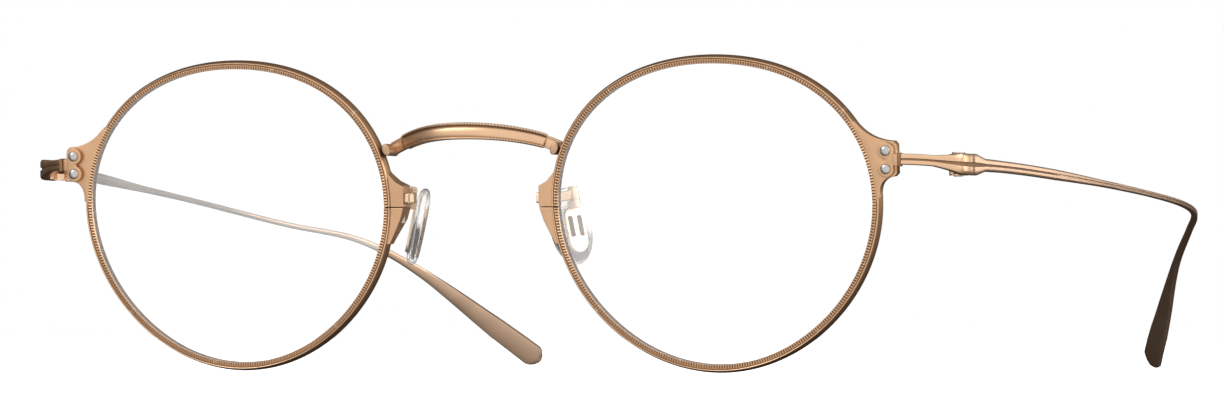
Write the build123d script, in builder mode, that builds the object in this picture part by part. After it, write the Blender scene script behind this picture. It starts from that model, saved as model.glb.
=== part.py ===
from build123d import *
from math import cos, pi, radians, sin, sqrt
import os

os.makedirs("parts", exist_ok=True)

# Round metal eyeglasses, in millimetres.  +X is the wearer's left, -Y is the way the lenses face,
# +Z is up.  The glasses stand open on a table at Z = 0, on the bottoms of both rims and on the
# two temple tips.  The left half is modelled, and the right half is its mirror image in the YZ plane.

# ---------------------------------------------------------------- driving dimensions
lens_spacing = 71.1            # between the two lens centres: a 46 mm lens and a 25 mm bridge
opening_mean_radius = 21.45    # rim opening, as radius = mean + oval cos 2a + lobe sin 3a
opening_oval = 1.09            # how much wider than tall the opening is
opening_lobe = 0.47            # flattens the brow line and rounds the cheek line
rim_width = 1.2                # radial width of the rim's front face
rim_depth = 1.4                # front to back
groove_depth = 0.5             # lens groove inside the rim
groove_width = 0.6
pantoscopic_tilt = 4.9         # degrees, top of the front leaning forwards
face_wrap = 1.3                # degrees, each rim turned back at its outer side
front_depth = -71.37           # Y of the front's datum, so that the whole object is centred on Y = 0

lens_thickness = 1.7
lens_curve_radius = 157.0      # base curve of the clear lenses
lens_clearance = 0.04

wing_reach = 3.3               # how far the rim flares out to carry the end piece
plate_thickness = 0.7
plate_lobe_radius = 1.15       # the plate swells round each rivet
rivet_side = 24.85             # the rivets' place on the wing, from the lens centre
rivet_mid = 6.8
rivet_pitch = 2.46
rivet_head_radius = 0.72
rivet_head_height = 0.5
rivet_shank_radius = 0.4

hinge_x = 66.7                 # hinge pin axis of the left temple
hinge_back = 11.9              # behind the front's datum
hinge_height = 28.2
temple_splay = 8.0             # degrees, the temple leaves the hinge turned outwards
knuckle_radius = 1.25
knuckle_height = 0.93
knuckle_gap = 0.04
hinge_pin_radius = 0.6
hinge_running_clearance = 0.04
screw_head_height = 0.25
screw_tip = 0.15               # the screw's end stands this far below the lowest knuckle
leaf_thickness = 0.45
arm_inner = 1.5                # inner face of the arm and temple, outboard of the pin axis
arm_thickness = 1.4
arm_height = 2.9               # height of the arm and temple at the hinge
joint_line = 1.3               # the butt joint lies this far in front of the pin axis
joint_gap = 0.06

tip_width = 3.6                # flattened temple tip
tip_thickness = 0.95
tip_twist = -35.0              # degrees, turns the tip flat against the head

bridge_height = 2.3
bridge_thickness = 1.5
post_half_width = 0.58         # the oval post at each end of the bridge
post_half_height = 0.86
post_turn = 20.0
post_length = 3.25

split_height = 0.62            # the closing blocks meet this far above the lens centre
split_gap = 0.08
lock_reach = 1.7               # how far the closing blocks stand out towards the nose
lock_depth = 2.9
lock_screw_radius = 0.5
lock_screw_slot = 0.22

pad_width = 7.3
pad_height = 10.8
pad_thickness = 1.7
pad_splay = 23.5               # degrees, seen from above
pad_lean = 12.4                # degrees, tops closer together
pad_centre = (11.3, 8.9, 20.05)
pad_edge_rounding = 0.6
core_width = 3.4               # the metal plate inside the pad
core_height = 6.4
core_drop = 0.6                # it sits this far below the pad's middle
core_back = -1.25              # and is half sunk into the pad's back
core_thickness = 0.5
eye_offset = -1.95             # the eye's axis lies behind the pad, away from the nose
eye_up = 4.1
eye_radius = 0.75
eye_height = 1.5
pad_pin_radius = 0.38
pad_running_clearance = 0.05
strap_thickness = 0.6

# ---------------------------------------------------------------- places worked out from them
lens_x = lens_spacing / 2
lens_z = (opening_mean_radius - opening_oval + opening_lobe + rim_width) * cos(radians(pantoscopic_tilt))
tilt = radians(pantoscopic_tilt)
wrap = radians(face_wrap)
front_normal = Vector(sin(wrap) * cos(tilt), -cos(wrap) * cos(tilt), -sin(tilt))
lens_back = 1.15               # the lens centres lie this far behind the datum
# local X runs outwards, local Y up and local Z forwards, from the left lens centre
front = Plane(
    origin=(lens_x, front_depth + lens_back, lens_z),
    x_dir=(cos(wrap), sin(wrap), 0),
    z_dir=front_normal,
)
# local X runs outboard, local Y back along the temple and local Z up, from the left hinge pin
splay = radians(temple_splay)
hinge = Plane(
    origin=(hinge_x, front_depth + hinge_back, hinge_height),
    x_dir=(cos(splay), -sin(splay), 0),
    z_dir=(0, 0, 1),
)
# local Y runs up the pad and local Z towards the nose, from the middle of the left pad
pad_up = Vector(-sin(radians(pad_lean)), 0, cos(radians(pad_lean)))
pad_out = Vector(-cos(radians(pad_splay)), sin(radians(pad_splay)), 0)
pad_normal = (pad_out - pad_up * pad_out.dot(pad_up)).normalized()
pad = Plane(
    origin=(pad_centre[0], front_depth + pad_centre[1], pad_centre[2]),
    x_dir=pad_up.cross(pad_normal),
    z_dir=pad_normal,
)
# local Z is the axis that the pad swivels on
swivel = Plane(
    origin=pad.from_local_coords(Vector(0, eye_up, eye_offset)),
    x_dir=pad.x_dir,
    z_dir=pad.y_dir,
)
rivet_places = [(rivet_side, rivet_mid + rivet_pitch / 2), (rivet_side, rivet_mid - rivet_pitch / 2)]


def at(x, back, z):
    """A point given by its side, its distance behind the front's datum, and its height."""
    return Vector(x, front_depth + back, z)


def opening_radius(angle):
    """Radius of the rim opening; angle 0 points to the temple and 90 degrees up."""
    return opening_mean_radius + opening_oval * cos(2 * angle) + opening_lobe * sin(3 * angle)


def outline(growth):
    """The rim opening's outline, grown outwards, as one closed curve."""
    count = 24
    points = []
    for i in range(count):
        angle = 2 * pi * i / count
        radius = opening_radius(angle) + growth
        points.append((radius * cos(angle), radius * sin(angle)))
    Spline(*points, periodic=True)


def between(stations, share):
    """The (height, thickness, twist) at a share of the path, from the stations on either side."""
    for before, after in zip(stations, stations[1:]):
        if before[0] <= share <= after[0]:
            part = (share - before[0]) / (after[0] - before[0])
            return [low + part * (high - low) for low, high in zip(before[1:], after[1:])]
    return stations[-1][1:]


def bar(path, stations, spans, corner=0.35):
    """Loft a bar along a path; a station is (share of path, height, thickness, twist)."""
    shares = sorted({round(i / spans, 5) for i in range(spans + 1)} | {round(s[0], 5) for s in stations})
    # stations that crowd an evenly spaced section replace it
    sections = []
    for share in shares:
        nearest = min(abs(share - station[0]) for station in stations)
        if 1e-4 < nearest < 0.4 / spans:
            continue
        height, thickness, twist = between(stations, share)
        along = path % share
        across = Vector(0, 0, 1).cross(along).normalized()
        place = Plane(origin=path @ share, x_dir=across, z_dir=along).rotated((0, 0, twist))
        with BuildSketch(place) as section:
            RectangleRounded(thickness, height, corner * min(height, thickness))
        sections.append(section.sketch)
    loft(sections, ruled=True)


left_pieces = {}

# ---------------------------------------------------------------- rim
with BuildPart() as rim:
    with BuildSketch(front):
        with BuildLine():
            outline(rim_width)
        make_face()
        # the wing that carries the end piece, its concave edges running into the ring
        with BuildLine():
            wing_tip = opening_radius(radians(17)) * cos(radians(17)) + rim_width + wing_reach
            top = Polyline((20.9, 10.6), (22.4, 9.6), (wing_tip - 0.4, 9.25))
            Polyline(top @ 1, (wing_tip, 8.8), (wing_tip, 4.9), (wing_tip - 0.4, 4.5), (23.5, 4.4))
            Polyline((23.5, 4.4), (23.2, 2.6), (21.0, 4.0), (20.9, 10.6))
        make_face()
        with BuildLine():
            outline(0)
        make_face(mode=Mode.SUBTRACT)
    extrude(amount=-rim_depth)
    with BuildSketch(front.offset(-(rim_depth - groove_width) / 2)):
        with BuildLine():
            outline(groove_depth)
        make_face()
    extrude(amount=-groove_width, mode=Mode.SUBTRACT)
    # the ring is cut through at the closing blocks, so that it can open for the lens
    with BuildSketch(front.offset(1)):
        with Locations((-opening_mean_radius - 1.5, split_height)):
            Rectangle(5, split_gap)
    extrude(amount=-rim_depth - 2, mode=Mode.SUBTRACT)
    # rivet holes through the wing
    with BuildSketch(front.offset(1)):
        with Locations(*rivet_places):
            Circle(rivet_shank_radius)
    extrude(amount=-rim_depth - 2, mode=Mode.SUBTRACT)
left_pieces["rim"] = rim

# ---------------------------------------------------------------- lens
with BuildPart() as lens:
    # the ball that shapes the front face is centred behind the lens
    edge_radius = opening_mean_radius
    edge_sag = lens_curve_radius - sqrt(lens_curve_radius**2 - edge_radius**2)
    apex = -rim_depth / 2 + lens_thickness / 2 + edge_sag
    ball_centre = front.from_local_coords(Vector(0, 0, apex - lens_curve_radius))
    with BuildSketch(front.offset(5)):
        with BuildLine():
            outline(-lens_clearance)
        make_face()
    extrude(amount=-12)
    with Locations(ball_centre):
        Sphere(lens_curve_radius, mode=Mode.INTERSECT)
        Sphere(lens_curve_radius - lens_thickness, mode=Mode.SUBTRACT)
    # the ridge round the edge that sits in the rim's groove
    with BuildSketch(front.offset(-(rim_depth - groove_width) / 2 - lens_clearance)):
        with BuildLine():
            outline(groove_depth - lens_clearance)
        make_face()
        with BuildLine():
            outline(-0.6)
        make_face(mode=Mode.SUBTRACT)
    extrude(amount=-(groove_width - 2 * lens_clearance))
left_pieces["lens"] = lens

# ---------------------------------------------------------------- closing blocks and rim screw
ring_edge = opening_radius(pi) + rim_width
lock_face = ring_edge + lock_reach
upper_corners = [
    (-21.0, 6.4), (-22.8, 6.4), (-lock_face, 3.5),
    (-lock_face, split_height + split_gap / 2), (-21.0, split_height + split_gap / 2),
]
lower_corners = [
    (-21.0, split_height - split_gap / 2), (-lock_face, split_height - split_gap / 2),
    (-lock_face + 0.4, -1.2), (-ring_edge + 0.3, -5.0), (-21.0, -5.0),
]
screw_axis = Plane(
    origin=front.from_local_coords(Vector(-ring_edge - 0.86, split_height, -1.6)),
    x_dir=front.x_dir,
    z_dir=front.y_dir,
)


def lock_block(corners):
    """A closing block: beside the rim and behind it, following the rim's curve."""
    for start, end, growth in ((0.2, rim_depth, rim_width), (rim_depth, lock_depth, 0.2)):
        with BuildSketch(front.offset(-start)) as block:
            with BuildLine():
                Polyline(*corners, close=True)
            make_face()
            with BuildLine():
                outline(growth)
            make_face(mode=Mode.SUBTRACT)
        extrude(block.sketch, amount=start - end)


with BuildPart() as rim_lock_upper:
    lock_block(upper_corners)
    with BuildSketch(screw_axis.offset(-1)):
        Circle(lock_screw_radius * 0.8 + 0.05)
    extrude(amount=8, mode=Mode.SUBTRACT)
    with BuildSketch(screw_axis.offset(2.0)):
        Circle(lock_screw_radius + 0.15)
    extrude(amount=5, mode=Mode.SUBTRACT)
left_pieces["rim_lock_upper"] = rim_lock_upper

with BuildPart() as rim_lock_lower:
    lock_block(lower_corners)
    with BuildSketch(screw_axis.offset(1)):
        Circle(lock_screw_radius * 0.8 + 0.01)
    extrude(amount=-3.4, mode=Mode.SUBTRACT)
left_pieces["rim_lock_lower"] = rim_lock_lower

with BuildPart() as rim_screw:
    with BuildSketch(screw_axis.offset(2.1)):
        Circle(lock_screw_radius * 0.8)
    extrude(amount=-4.3)
    with BuildSketch(screw_axis.offset(2.02)):
        Circle(lock_screw_radius + 0.1)
    extrude(amount=0.6)
    with BuildSketch(screw_axis.offset(2.62)):
        Rectangle(2 * lock_screw_radius + 1, lock_screw_slot)
    extrude(amount=-0.25, mode=Mode.SUBTRACT)
left_pieces["rim_screw"] = rim_screw

# ---------------------------------------------------------------- end piece: riveted plate and arm
arm_middle = arm_inner + arm_thickness / 2
arm_end = hinge.from_local_coords(Vector(arm_middle, -joint_line - joint_gap / 2, 0))
with BuildPart() as end_piece:
    with BuildLine() as arm_path:
        Spline(
            at(62.1, 0.95, 28.75),
            at(64.3, 2.7, 28.7),
            at(66.5, 4.9, 28.5),
            hinge.from_local_coords(Vector(arm_middle, -4.4, 0.05)),
            arm_end,
            tangents=((1, 0.6, 0), hinge.y_dir),
        )
    bar(arm_path.edge(), [
        (0.0, 1.5, 1.2, 0), (0.2, 1.5, 1.2, 0), (0.42, 1.5, 1.2, 0), (0.6, 2.1, 1.3, 0),
        (0.74, arm_height - 0.1, arm_thickness, 0), (0.88, arm_height, arm_thickness, 0),
        (1.0, arm_height, arm_thickness, 0),
    ], spans=16)
    with BuildSketch(front):
        with Locations(*rivet_places):
            Circle(plate_lobe_radius)
        with Locations((rivet_side + 0.9, rivet_mid)):
            Rectangle(2.6, 2.3)
    extrude(amount=plate_thickness)
    with BuildSketch(front.offset(-0.1)):
        with Locations((rivet_side + 1.95, rivet_mid)):
            Rectangle(0.5, 1.8)
    extrude(amount=plate_thickness + 0.35)
    with BuildSketch(front.offset(2)):
        with Locations(*rivet_places):
            Circle(rivet_shank_radius)
    extrude(amount=-3, mode=Mode.SUBTRACT)
left_pieces["end_piece"] = end_piece

with BuildPart() as end_piece_rivets:
    for side, up in rivet_places:
        with BuildSketch(front.offset(-rim_depth - 0.3)):
            with Locations((side, up)):
                Circle(rivet_shank_radius)
        extrude(amount=rim_depth + plate_thickness + 0.3)
        with BuildSketch(front.offset(-rim_depth - 0.3)):
            with Locations((side, up)):
                Circle(rivet_head_radius)
        extrude(amount=0.29)
        # the domed head stands on the plate
        with BuildSketch(front.offset(plate_thickness)):
            with Locations((side, up)):
                Circle(rivet_head_radius)
        extrude(amount=rivet_head_height)
    crowns = end_piece_rivets.edges().filter_by(GeomType.CIRCLE).group_by(Axis(front.origin, front.z_dir))[-1]
    fillet(crowns, rivet_head_height * 0.9)
left_pieces["end_piece_rivets"] = end_piece_rivets

# ---------------------------------------------------------------- hinge
leaf_face = arm_inner - 0.01
with BuildPart() as hinge_front_leaf:
    with BuildSketch(hinge.offset(-1.3)):
        with Locations((leaf_face - leaf_thickness / 2, -2.9)):
            Rectangle(leaf_thickness, 2.8)
    extrude(amount=2.6)
    for base in (knuckle_height / 2 + knuckle_gap, -1.5 * knuckle_height - knuckle_gap):
        with BuildSketch(hinge.offset(base)):
            Circle(knuckle_radius)
            with BuildLine():
                Polyline((-0.6, -1.05), (0.3, -1.05), (leaf_face - leaf_thickness, -2.6),
                         (leaf_face - 0.05, -2.6), (leaf_face - 0.15, -1.2), (1.2, 0), (0, 0), close=True)
            make_face()
            Circle(hinge_pin_radius + 0.01, mode=Mode.SUBTRACT)
        extrude(amount=knuckle_height)
left_pieces["hinge_front_leaf"] = hinge_front_leaf

with BuildPart() as hinge_rear_leaf:
    with BuildSketch(hinge.offset(-knuckle_height / 2)):
        Circle(knuckle_radius)
        with BuildLine():
            Polyline((0, 0), (leaf_face - 0.1, 0.2), (leaf_face, 1.2), (leaf_face, 3.2),
                     (leaf_face - leaf_thickness, 3.2), (-0.9, 0.85), close=True)
        make_face()
        Circle(hinge_pin_radius + hinge_running_clearance, mode=Mode.SUBTRACT)
    extrude(amount=knuckle_height)
    with BuildSketch(hinge.offset(-0.7)):
        with Locations((leaf_face - leaf_thickness / 2, 4.4)):
            Rectangle(leaf_thickness, 5.2)
    extrude(amount=1.4)
left_pieces["hinge_rear_leaf"] = hinge_rear_leaf

with BuildPart() as hinge_screw:
    stack = 1.5 * knuckle_height + knuckle_gap
    with BuildSketch(hinge.offset(-stack - screw_tip)):
        Circle(hinge_pin_radius)
    extrude(amount=2 * stack + screw_tip + 0.1)
    with BuildSketch(hinge.offset(stack + 0.01)):
        Circle(hinge_pin_radius + 0.3)
    extrude(amount=screw_head_height)
    with BuildSketch(hinge.offset(stack + 0.01 + screw_head_height)):
        Rectangle(3, 0.25)
    extrude(amount=-0.15, mode=Mode.SUBTRACT)
left_pieces["hinge_screw"] = hinge_screw

# ---------------------------------------------------------------- temple
temple_start = hinge.from_local_coords(Vector(arm_middle, -joint_line + joint_gap / 2, 0))
with BuildPart() as temple:
    with BuildLine() as temple_path:
        Spline(
            temple_start,
            at(73.2, 41.6, 26.9),
            at(75.7, 71.4, 24.9),
            at(74.6, 90.8, 22.8),
            at(71.2, 100.0, 21.3),
            at(67.2, 110.2, 19.8),
            at(63.2, 118.4, 16.7),
            at(55.7, 134.0, 7.5),
            at(50.6, 144.5, 0.95),
            tangents=(hinge.y_dir, (-0.35, 0.8, -0.47)),
        )
    temple_length = temple_path.edge().length
    rounding = tip_width / 2
    bar(temple_path.edge(), [
        (0.0, arm_height, arm_thickness, 0),
        (1.5 / temple_length, arm_height, arm_thickness, 0),
        (4.0 / temple_length, 1.75, 1.35, 0),
        (9.7 / temple_length, 1.55, 1.3, 0),
        (28 / temple_length, 1.35, 1.2, 0),
        (40 / temple_length, 0.95, 1.1, 0),
        (56 / temple_length, 0.78, 1.0, 0),
        (74 / temple_length, 0.78, 0.95, 0),
        (90 / temple_length, 0.8, 0.95, 0),
        (102 / temple_length, 0.9, 0.95, 0),
        (112 / temple_length, 1.15, tip_thickness, tip_twist * 0.3),
        (119 / temple_length, 1.65, tip_thickness, tip_twist * 0.7),
        (127 / temple_length, 2.5, tip_thickness, tip_twist),
        (135 / temple_length, 3.3, tip_thickness, tip_twist),
        (1 - rounding / temple_length, tip_width, tip_thickness, tip_twist),
        (1 - 0.55 * rounding / temple_length, tip_width * 0.89, tip_thickness, tip_twist),
        (1 - 0.2 * rounding / temple_length, tip_width * 0.6, tip_thickness * 0.9, tip_twist),
        (1.0, tip_width * 0.25, tip_thickness * 0.8, tip_twist),
    ], spans=40)
left_pieces["temple"] = temple

# ---------------------------------------------------------------- pad arm, pad core and nose pad
with BuildPart() as pad_arm:
    with BuildSketch(swivel.offset(-eye_height / 2)):
        Circle(eye_radius)
    extrude(amount=eye_height)
    with BuildLine() as strap_path:
        Spline(
            at(9.75, 1.7, 23.85),
            at(9.75, 3.7, 23.9),
            at(10.9, 6.0, 24.0),
            swivel.origin + pad.x_dir * 0.5,
        )
    bar(strap_path.edge(), [
        (0.0, 1.5, strap_thickness, 0), (0.35, 1.5, strap_thickness, 0),
        (0.7, 1.4, strap_thickness, 0), (1.0, 1.3, strap_thickness, 0),
    ], spans=8)
    # the foot brazed to the closing block
    with BuildSketch(Plane(origin=at(10.05, 1.7, 23.85), x_dir=(0, 1, 0), z_dir=(-1, 0, 0))):
        RectangleRounded(1.3, 1.4, 0.3)
    extrude(amount=0.5)
    with BuildSketch(swivel.offset(-eye_height)):
        Circle(pad_pin_radius + pad_running_clearance)
    extrude(amount=2 * eye_height, mode=Mode.SUBTRACT)
left_pieces["pad_arm"] = pad_arm

with BuildPart() as pad_core:
    with BuildSketch(pad.offset(core_back)):
        with Locations((0, -core_drop)):
            SlotOverall(core_height, core_width, rotation=90)
        with Locations((-0.85, -0.2), (0.85, -0.2)):
            RectangleRounded(0.9, 2.9, 0.2, mode=Mode.SUBTRACT)
    extrude(amount=core_thickness)
    # the neck below the eye
    with BuildSketch(swivel.offset(-eye_height / 2 - 0.06)):
        Circle(eye_radius - 0.08)
        with Locations((0, -0.45)):
            Rectangle(1.2, 1.1)
    extrude(amount=-1.1)
    with BuildSketch(swivel.offset(-eye_height / 2 - 0.3)):
        Circle(pad_pin_radius)
    extrude(amount=eye_height + 0.45)
    with BuildSketch(swivel.offset(eye_height / 2 + 0.06)):
        Circle(eye_radius - 0.12)
    extrude(amount=0.3)
left_pieces["pad_core"] = pad_core

with BuildPart() as nose_pad:
    with BuildSketch(pad.offset(-pad_thickness / 2 - 0.1)):
        Ellipse(pad_width / 2, pad_height / 2)
    extrude(amount=pad_thickness)
    fillet(nose_pad.edges().filter_by(GeomType.ELLIPSE), pad_edge_rounding)
    with BuildSketch(pad.offset(core_back - 0.2)):
        with Locations((0, -core_drop)):
            SlotOverall(core_height + 0.04, core_width + 0.04, rotation=90)
    extrude(amount=core_thickness + 0.22, mode=Mode.SUBTRACT)
left_pieces["nose_pad"] = nose_pad

# ---------------------------------------------------------------- bridge
with BuildPart() as bridge:
    with BuildLine() as bridge_path:
        Spline(
            at(-12.3, 2.75, 30.75),
            at(-10.4, 2.3, 31.55),
            at(-8.5, 1.25, 32.1),
            at(-4.5, -0.75, 32.75),
            at(0, -1.25, 32.95),
            at(4.5, -0.75, 32.75),
            at(8.5, 1.25, 32.1),
            at(10.4, 2.3, 31.55),
            at(12.3, 2.75, 30.75),
        )
    half = [
        (0.0, 1.7, 1.2, 0), (0.07, 1.7, 1.2, 0), (0.085, 2.0, bridge_thickness, 0),
        (0.2, 2.1, bridge_thickness, 0), (0.35, 2.25, bridge_thickness, 0),
    ]
    other_half = [(1 - share, *section) for share, *section in reversed(half)]
    bar(bridge_path.edge(), half + [(0.5, bridge_height, bridge_thickness, 0)] + other_half, spans=20)
    # each end turns forwards along the rim's outer wall
    for side in (-1, 1):
        post = Plane(origin=at(12.52 * side, 3.35, 30.5), x_dir=(1, 0, 0), z_dir=(0, -1, 0))
        with BuildSketch(post):
            Ellipse(post_half_width, post_half_height, rotation=-post_turn * side)
        extrude(amount=post_length)
bridge.part.label = "bridge"
export_step(bridge.part, "parts/bridge.step")

# ---------------------------------------------------------------- the left half and its mirror image
for name, piece in left_pieces.items():
    piece.part.label = name + "_left"
    export_step(piece.part, "parts/" + name + "_left.step")
    with BuildPart() as twin:
        mirror(piece.part, about=Plane.YZ)
    twin.part.label = name + "_right"
    export_step(twin.part, "parts/" + name + "_right.step")
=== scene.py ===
from math import atan2, cos, hypot, pi, radians, sin, sqrt

import bmesh
import bpy
import numpy as np
from bpy.props import FloatProperty, FloatVectorProperty, IntProperty, PointerProperty
from mathutils import Matrix, Vector


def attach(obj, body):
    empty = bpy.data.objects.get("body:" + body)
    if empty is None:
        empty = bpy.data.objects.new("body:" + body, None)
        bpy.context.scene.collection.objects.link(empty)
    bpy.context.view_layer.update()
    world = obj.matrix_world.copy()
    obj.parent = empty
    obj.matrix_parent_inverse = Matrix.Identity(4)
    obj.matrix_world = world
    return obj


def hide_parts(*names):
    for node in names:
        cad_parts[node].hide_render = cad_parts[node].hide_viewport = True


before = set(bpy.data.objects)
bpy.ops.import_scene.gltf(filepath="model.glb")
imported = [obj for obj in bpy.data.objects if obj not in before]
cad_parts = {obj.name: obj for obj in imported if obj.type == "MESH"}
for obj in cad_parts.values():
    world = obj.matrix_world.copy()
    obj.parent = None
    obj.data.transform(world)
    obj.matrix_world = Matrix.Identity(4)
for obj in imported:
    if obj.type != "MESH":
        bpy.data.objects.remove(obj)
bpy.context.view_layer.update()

bl_info = {
    "name": "Round Metal Eyeglasses",
    "version": (1, 0, 0),
    "blender": (4, 5, 0),
    "location": "3D View > Sidebar > Glasses",
    "description": "Builds detailed round metal eyeglasses around their engineered frame",
    "category": "Object",
}

# Metres.  +X is the wearer's left, -Y is the way the lenses face, +Z is up.  The left half is
# modelled, and the right half is its mirror image in the YZ plane.
MM = 0.001
SIDES = {"left": 1, "right": -1}

FRONT_DEPTH = -71.37 * MM      # Y of the front's datum
TILT = radians(4.9)            # top of the front leaning forwards
WRAP = radians(1.3)            # each rim turned back at its outer side
LENS_X = 35.55 * MM
LENS_BACK = 1.15 * MM
OPENING_MEAN = 21.45 * MM      # rim opening, as radius = mean + oval cos 2a + lobe sin 3a
OPENING_OVAL = 1.09 * MM
OPENING_LOBE = 0.47 * MM
RIM_WIDTH = 1.2 * MM
RIM_DEPTH = 1.4 * MM
LENS_Z = (OPENING_MEAN - OPENING_OVAL + OPENING_LOBE + RIM_WIDTH) * cos(TILT)
WING_TIP = 26.2 * MM           # how far the rim flares out, from the lens centre
SPLIT_HEIGHT = 0.62 * MM       # the closing blocks meet this far above the lens centre
LOCK_FACE = 25.44 * MM         # their nasal faces, from the lens centre
RIVET_SIDE = 24.85 * MM
RIVET_MID = 6.8 * MM
RIVET_PITCH = 2.46 * MM
HINGE_PIN = Vector((66.7 * MM, FRONT_DEPTH + 11.9 * MM, 28.2 * MM))
SPLAY = radians(8)
ARM_MIDDLE = 2.2 * MM          # middle of the arm and the temple, outboard of the hinge pin
PAD_LEAN = radians(12.4)
PAD_SPLAY = radians(23.5)
PAD_CENTRE = Vector((11.3 * MM, FRONT_DEPTH + 8.9 * MM, 20.05 * MM))


# -------------------- sizes and colours a user may change
class GlassesSizes(bpy.types.PropertyGroup):
    """Sizes of the fine work."""
    rib_count: IntProperty(
        name="Ribs round each rim", description="Coin-edge ribs in one full turn", default=360, min=60)
    rib_height: FloatProperty(
        name="Rib height", description="How far each rib stands up", default=0.13 * MM,
        unit="LENGTH", precision=6)
    bead_height: FloatProperty(
        name="Bead height", description="Height of the smooth outer bead of the rims", default=0.1 * MM,
        unit="LENGTH", precision=6)
    groove_depth: FloatProperty(
        name="Groove depth", description="Depth of the groove along the arms and the temples",
        default=0.28 * MM, unit="LENGTH", precision=6)
    plate_thickness: FloatProperty(
        name="Plate thickness", description="Thickness of the riveted plates", default=0.7 * MM,
        unit="LENGTH", precision=6)
    lens_thickness: FloatProperty(
        name="Lens thickness", description="Thickness in the middle of each lens", default=1.7 * MM,
        unit="LENGTH", precision=6)
    lens_curve: FloatProperty(
        name="Lens curve", description="Radius of each lens's front face", default=157 * MM,
        unit="LENGTH", precision=5)
    pad_thickness: FloatProperty(
        name="Nose pad thickness", description="Thickness of each nose pad", default=1.9 * MM,
        unit="LENGTH", precision=6)


def colour_property(name, description, default):
    return FloatVectorProperty(
        name=name, description=description, default=default, subtype="COLOR", size=3, min=0, max=1)


class GlassesColours(bpy.types.PropertyGroup):
    """Colours of the finishes."""
    rim: colour_property("Rim metal", "Polished antique rose gold of the rims", (0.66, 0.41, 0.235))
    flat: colour_property("Matt metal", "Matt rose gold of the wings and closing blocks", (0.64, 0.40, 0.235))
    body: colour_property("Frame metal", "Polished metal of the bridge and arms", (0.76, 0.50, 0.31))
    temple: colour_property("Temple metal", "Satin metal of the temples", (0.62, 0.43, 0.30))
    # the same brown also serves as painted shade on walls, undersides, bridge posts and the pad slots
    recess_and_shade: colour_property("Recess colour", "Brown that lies in the grooves", (0.10, 0.045, 0.022))
    silver: colour_property("Rivet silver", "Bright rivets", (0.46, 0.45, 0.44))
    steel: colour_property("Screw steel", "Screws and hinge pins", (0.55, 0.47, 0.40))
    cream: colour_property("Pad metal", "Pale gold of the pad arms and cores", (0.76, 0.55, 0.36))
    silicone: colour_property("Nose pad", "Clear silicone of the nose pads", (0.66, 0.65, 0.64))
    lens: colour_property("Lens", "Clear plastic of the lenses", (0.99, 0.995, 1.0))
    floor: colour_property("Floor", "Pale studio floor", (0.86, 0.86, 0.86))


# -------------------- places
def at(x, back, z):
    """A point given in millimetres by its side, its distance behind the front's datum, and its height."""
    return Vector((x * MM, FRONT_DEPTH + back * MM, z * MM))


def plane(origin, along_x, normal):
    """The matrix that takes local coordinates to the frame."""
    normal = normal.normalized()
    along_x = (along_x - normal * along_x.dot(normal)).normalized()
    matrix = Matrix((along_x, normal.cross(along_x), normal)).transposed().to_4x4()
    matrix.translation = origin
    return matrix


# local X runs outwards, local Y up and local Z forwards, from the left lens centre
FRONT = plane(
    Vector((LENS_X, FRONT_DEPTH + LENS_BACK, LENS_Z)),
    Vector((cos(WRAP), sin(WRAP), 0)),
    Vector((sin(WRAP) * cos(TILT), -cos(WRAP) * cos(TILT), -sin(TILT))),
)
# local X runs outboard and local Y back along the temple, from the left hinge pin
HINGE = plane(HINGE_PIN, Vector((cos(SPLAY), -sin(SPLAY), 0)), Vector((0, 0, 1)))
PAD_UP = Vector((-sin(PAD_LEAN), 0, cos(PAD_LEAN)))
PAD_OUT = Vector((-cos(PAD_SPLAY), sin(PAD_SPLAY), 0))
PAD_NORMAL = (PAD_OUT - PAD_UP * PAD_OUT.dot(PAD_UP)).normalized()
# local Y runs up the pad and local Z towards the nose
PAD = plane(PAD_CENTRE, PAD_UP.cross(PAD_NORMAL), PAD_NORMAL)


def opening_radius(angle):
    """Radius of the rim opening; angle 0 points to the temple and 90 degrees up."""
    return OPENING_MEAN + OPENING_OVAL * cos(2 * angle) + OPENING_LOBE * sin(3 * angle)


def on_ring(degrees, growth):
    """A point on the rim opening's outline, grown outwards."""
    angle = radians(degrees)
    radius = opening_radius(angle) + growth
    return Vector((radius * cos(angle), radius * sin(angle), 0))


def curve_between(start, pull, end, steps):
    """Points of a smooth concave edge from start to end, drawn towards pull."""
    points = []
    for i in range(steps + 1):
        share = i / steps
        points.append(start * (1 - share) ** 2 + pull * 2 * share * (1 - share) + end * share**2)
    return points


def eased(value, low, high):
    """0 below low, 1 above high, and smooth between them."""
    share = min(max((value - low) / (high - low), 0), 1)
    return share * share * (3 - 2 * share)


# -------------------- mesh helpers
def new_shape():
    """An empty bmesh whose points carry a share from 0 to 1 of brown: how deep they lie in hollows, and
    painted shade where only shade falls.
    """
    mesh_data = bmesh.new()
    mesh_data.verts.layers.float.new("patina_and_painted_shade")
    return mesh_data


def linked(name, data):
    """A new object in the scene for a mesh, a light or a camera."""
    made = bpy.data.objects.new(name, data)
    bpy.context.scene.collection.objects.link(made)
    return made


def finished(mesh_data, name, body, nodes, materials, crease=35):
    """Turn a bmesh into a piece that rides on a body and stands for CAD nodes."""
    bmesh.ops.recalc_face_normals(mesh_data, faces=mesh_data.faces)
    for face in mesh_data.faces:
        face.smooth = True
    mesh = bpy.data.meshes.new(name)
    mesh_data.to_mesh(mesh)
    mesh_data.free()
    mesh.set_sharp_from_angle(angle=radians(crease))
    for material in materials:
        mesh.materials.append(material)
    piece = linked(name, mesh)
    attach(piece, body)
    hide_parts(*nodes)
    return piece


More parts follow.
